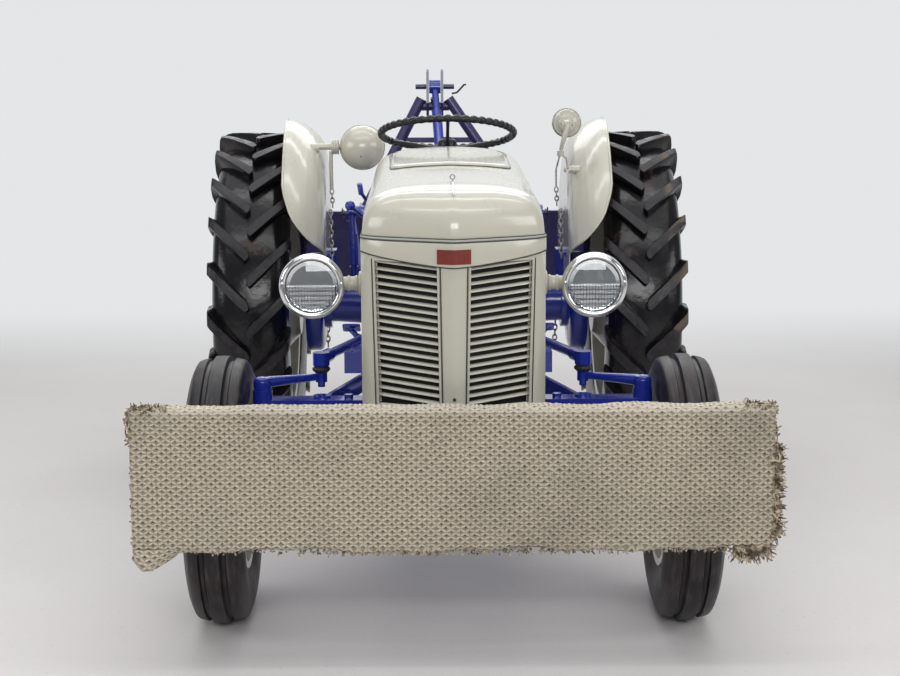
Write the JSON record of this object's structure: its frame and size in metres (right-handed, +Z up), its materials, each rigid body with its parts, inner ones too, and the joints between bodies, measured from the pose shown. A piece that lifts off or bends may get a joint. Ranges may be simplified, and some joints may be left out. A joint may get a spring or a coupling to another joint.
{
  "type": "vintage tractor with front push board and rear blade",
  "caption": "Vintage farm tractor with steered front wheels, tilting bonnet, carpeted push board and a raised rear blade on a three-point linkage.",
  "frame": {"origin": "middle of the machine's footprint, on the ground under the middle of its overall box", "axes": "+Z up, +Y towards the rear, +X towards the tractor's own left side"},
  "size_m": [1.608, 3.216, 1.428],
  "materials": {
    "tyre_black": "worn",
    "wheel_black": "satin",
    "dark_paint": "matt",
    "chrome": "polished",
    "carpet": "loop pile",
    "plank": "bare",
    "grey_paint": "gloss",
    "blue_paint": "gloss"
  },
  "bodies": {
    "tractor": {"front_support": "blue_paint", "front_axle": "blue_paint", "radius_rods": "blue_paint", "engine_block": "blue_paint", "engine_fittings": "blue_paint", "radiator": "dark_paint", "fuel_tank": "grey_paint", "exhaust": "dark_paint", "transmission": "blue_paint", "rear_axle": "blue_paint", "lift_cover": "blue_paint", "steering_box": "blue_paint", "dash_panel": "grey_paint", "seat_pan": "grey_paint", "seat_spring": "blue_paint", "mudguards": "grey_paint", "work_lamps": "grey_paint", "foot_plates": "blue_paint", "controls": "blue_paint", "push_frame": "blue_paint", "push_plank": "plank", "board_carpet": "carpet"},
    "bonnet": {"bonnet_top": "grey_paint", "grille_shell": "grey_paint", "grille_louvres": "grey_paint", "head_lamps": "chrome", "lamp_brackets": "grey_paint"},
    "front_wheel_left": {"front_tyre_left": "tyre_black", "front_disc_left": "grey_paint"},
    "front_wheel_right": {"front_tyre_right": "tyre_black", "front_disc_right": "grey_paint"},
    "rear_wheel_left": {"rear_tyre_left": "tyre_black", "rear_disc_left": "grey_paint"},
    "rear_wheel_right": {"rear_tyre_right": "tyre_black", "rear_disc_right": "grey_paint"},
    "knuckle_left": {"knuckle_left": "blue_paint"},
    "knuckle_right": {"knuckle_right": "blue_paint"},
    "drop_arm_left": {"drop_arm_left": "blue_paint"},
    "drop_arm_right": {"drop_arm_right": "blue_paint"},
    "drag_link_left": {"drag_link_left": "blue_paint"},
    "drag_link_right": {"drag_link_right": "blue_paint"},
    "steering_wheel": {"steering_wheel": "wheel_black"},
    "lower_links": {"lower_links": "blue_paint"},
    "lift_arms": {"lift_arms": "blue_paint"},
    "lift_rods": {"lift_rods": "blue_paint"},
    "top_link": {"top_link": "blue_paint"},
    "blade": {"blade_frame": "blue_paint", "blade": "blue_paint"}
  },
  "joints": [
    {"name": "steer_left", "type": "hinge", "parent": "tractor", "child": "knuckle_left", "pos_m": [0.512, -1.12, 0.612], "axis": [0, 0, 1], "range_deg": [-35, 35]},
    {"name": "steer_right", "type": "hinge", "parent": "tractor", "child": "knuckle_right", "pos_m": [-0.512, -1.12, 0.612], "axis": [0, 0, 1], "range_deg": [-35, 35]},
    {"name": "front_roll_left", "type": "hinge", "parent": "knuckle_left", "child": "front_wheel_left", "pos_m": [0.62, -1.12, 0.361], "axis": [1, 0, 0], "continuous": true},
    {"name": "rear_roll_left", "type": "hinge", "parent": "tractor", "child": "rear_wheel_left", "pos_m": [0.665, 0.658, 0.61], "axis": [1, 0, 0], "continuous": true},
    {"name": "drag_turn_left", "type": "hinge", "parent": "knuckle_left", "child": "drag_link_left", "pos_m": [0.359, -1.02, 0.654], "axis": [0, 0, 1], "range_deg": [-40, 40]},
    {"name": "drop_swing_left", "type": "hinge", "parent": "tractor", "child": "drop_arm_left", "pos_m": [0.228, -0.19, 0.85], "axis": [1, 0, 0], "range_deg": [-30, 30]},
    {"name": "front_roll_right", "type": "hinge", "parent": "knuckle_right", "child": "front_wheel_right", "pos_m": [-0.62, -1.12, 0.361], "axis": [1, 0, 0], "continuous": true},
    {"name": "rear_roll_right", "type": "hinge", "parent": "tractor", "child": "rear_wheel_right", "pos_m": [-0.665, 0.658, 0.61], "axis": [1, 0, 0], "continuous": true},
    {"name": "drag_turn_right", "type": "hinge", "parent": "knuckle_right", "child": "drag_link_right", "pos_m": [-0.359, -1.02, 0.654], "axis": [0, 0, 1], "range_deg": [-40, 40]},
    {"name": "drop_swing_right", "type": "hinge", "parent": "tractor", "child": "drop_arm_right", "pos_m": [-0.228, -0.19, 0.85], "axis": [1, 0, 0], "range_deg": [-30, 30]},
    {"name": "steering_wheel_turn", "type": "hinge", "parent": "tractor", "child": "steering_wheel", "pos_m": [0, 0.084, 1.248], "axis": [0, 0.2756, 0.9613], "range_deg": [-430, 430]},
    {"name": "bonnet_tilt", "type": "hinge", "parent": "tractor", "child": "bonnet", "pos_m": [0, -1.39, 0.632], "axis": [1, 0, 0], "range_deg": [0, 40]},
    {"name": "lift", "type": "hinge", "parent": "tractor", "child": "lower_links", "pos_m": [0, 0.578, 0.415], "axis": [1, 0, 0], "range_deg": [-32, 0]},
    {"name": "blade_pivot", "type": "hinge", "parent": "lower_links", "child": "blade", "pos_m": [0, 1.228, 0.872], "axis": [1, 0, 0], "range_deg": [-21, 21]},
    {"name": "top_link_pivot", "type": "hinge", "parent": "tractor", "child": "top_link", "pos_m": [0, 0.848, 0.87], "axis": [1, 0, 0], "range_deg": [-46, 46]},
    {"name": "lift_arm_pivot", "type": "hinge", "parent": "tractor", "child": "lift_arms", "pos_m": [0, 0.768, 0.83], "axis": [1, 0, 0], "range_deg": [-43, 43]},
    {"name": "lift_rod_pivot", "type": "hinge", "parent": "lift_arms", "child": "lift_rods", "pos_m": [0, 0.98, 0.905], "axis": [1, 0, 0], "range_deg": [-56, 56]}
  ],
  "couplings": [
    {"joint": "steer_right", "follows": "steer_left", "ratio": 1},
    {"joint": "drag_turn_left", "follows": "steer_left", "ratio": -1.12},
    {"joint": "drop_swing_left", "follows": "steer_left", "ratio": -0.655},
    {"joint": "drag_turn_right", "follows": "steer_left", "ratio": -1.12},
    {"joint": "drop_swing_right", "follows": "steer_left", "ratio": 0.655},
    {"joint": "steering_wheel_turn", "follows": "steer_left", "ratio": 11.8},
    {"joint": "blade_pivot", "follows": "lift", "ratio": -0.628},
    {"joint": "top_link_pivot", "follows": "lift", "ratio": 1.422},
    {"joint": "lift_arm_pivot", "follows": "lift", "ratio": 1.323},
    {"joint": "lift_rod_pivot", "follows": "lift", "ratio": -1.741}
  ]
}
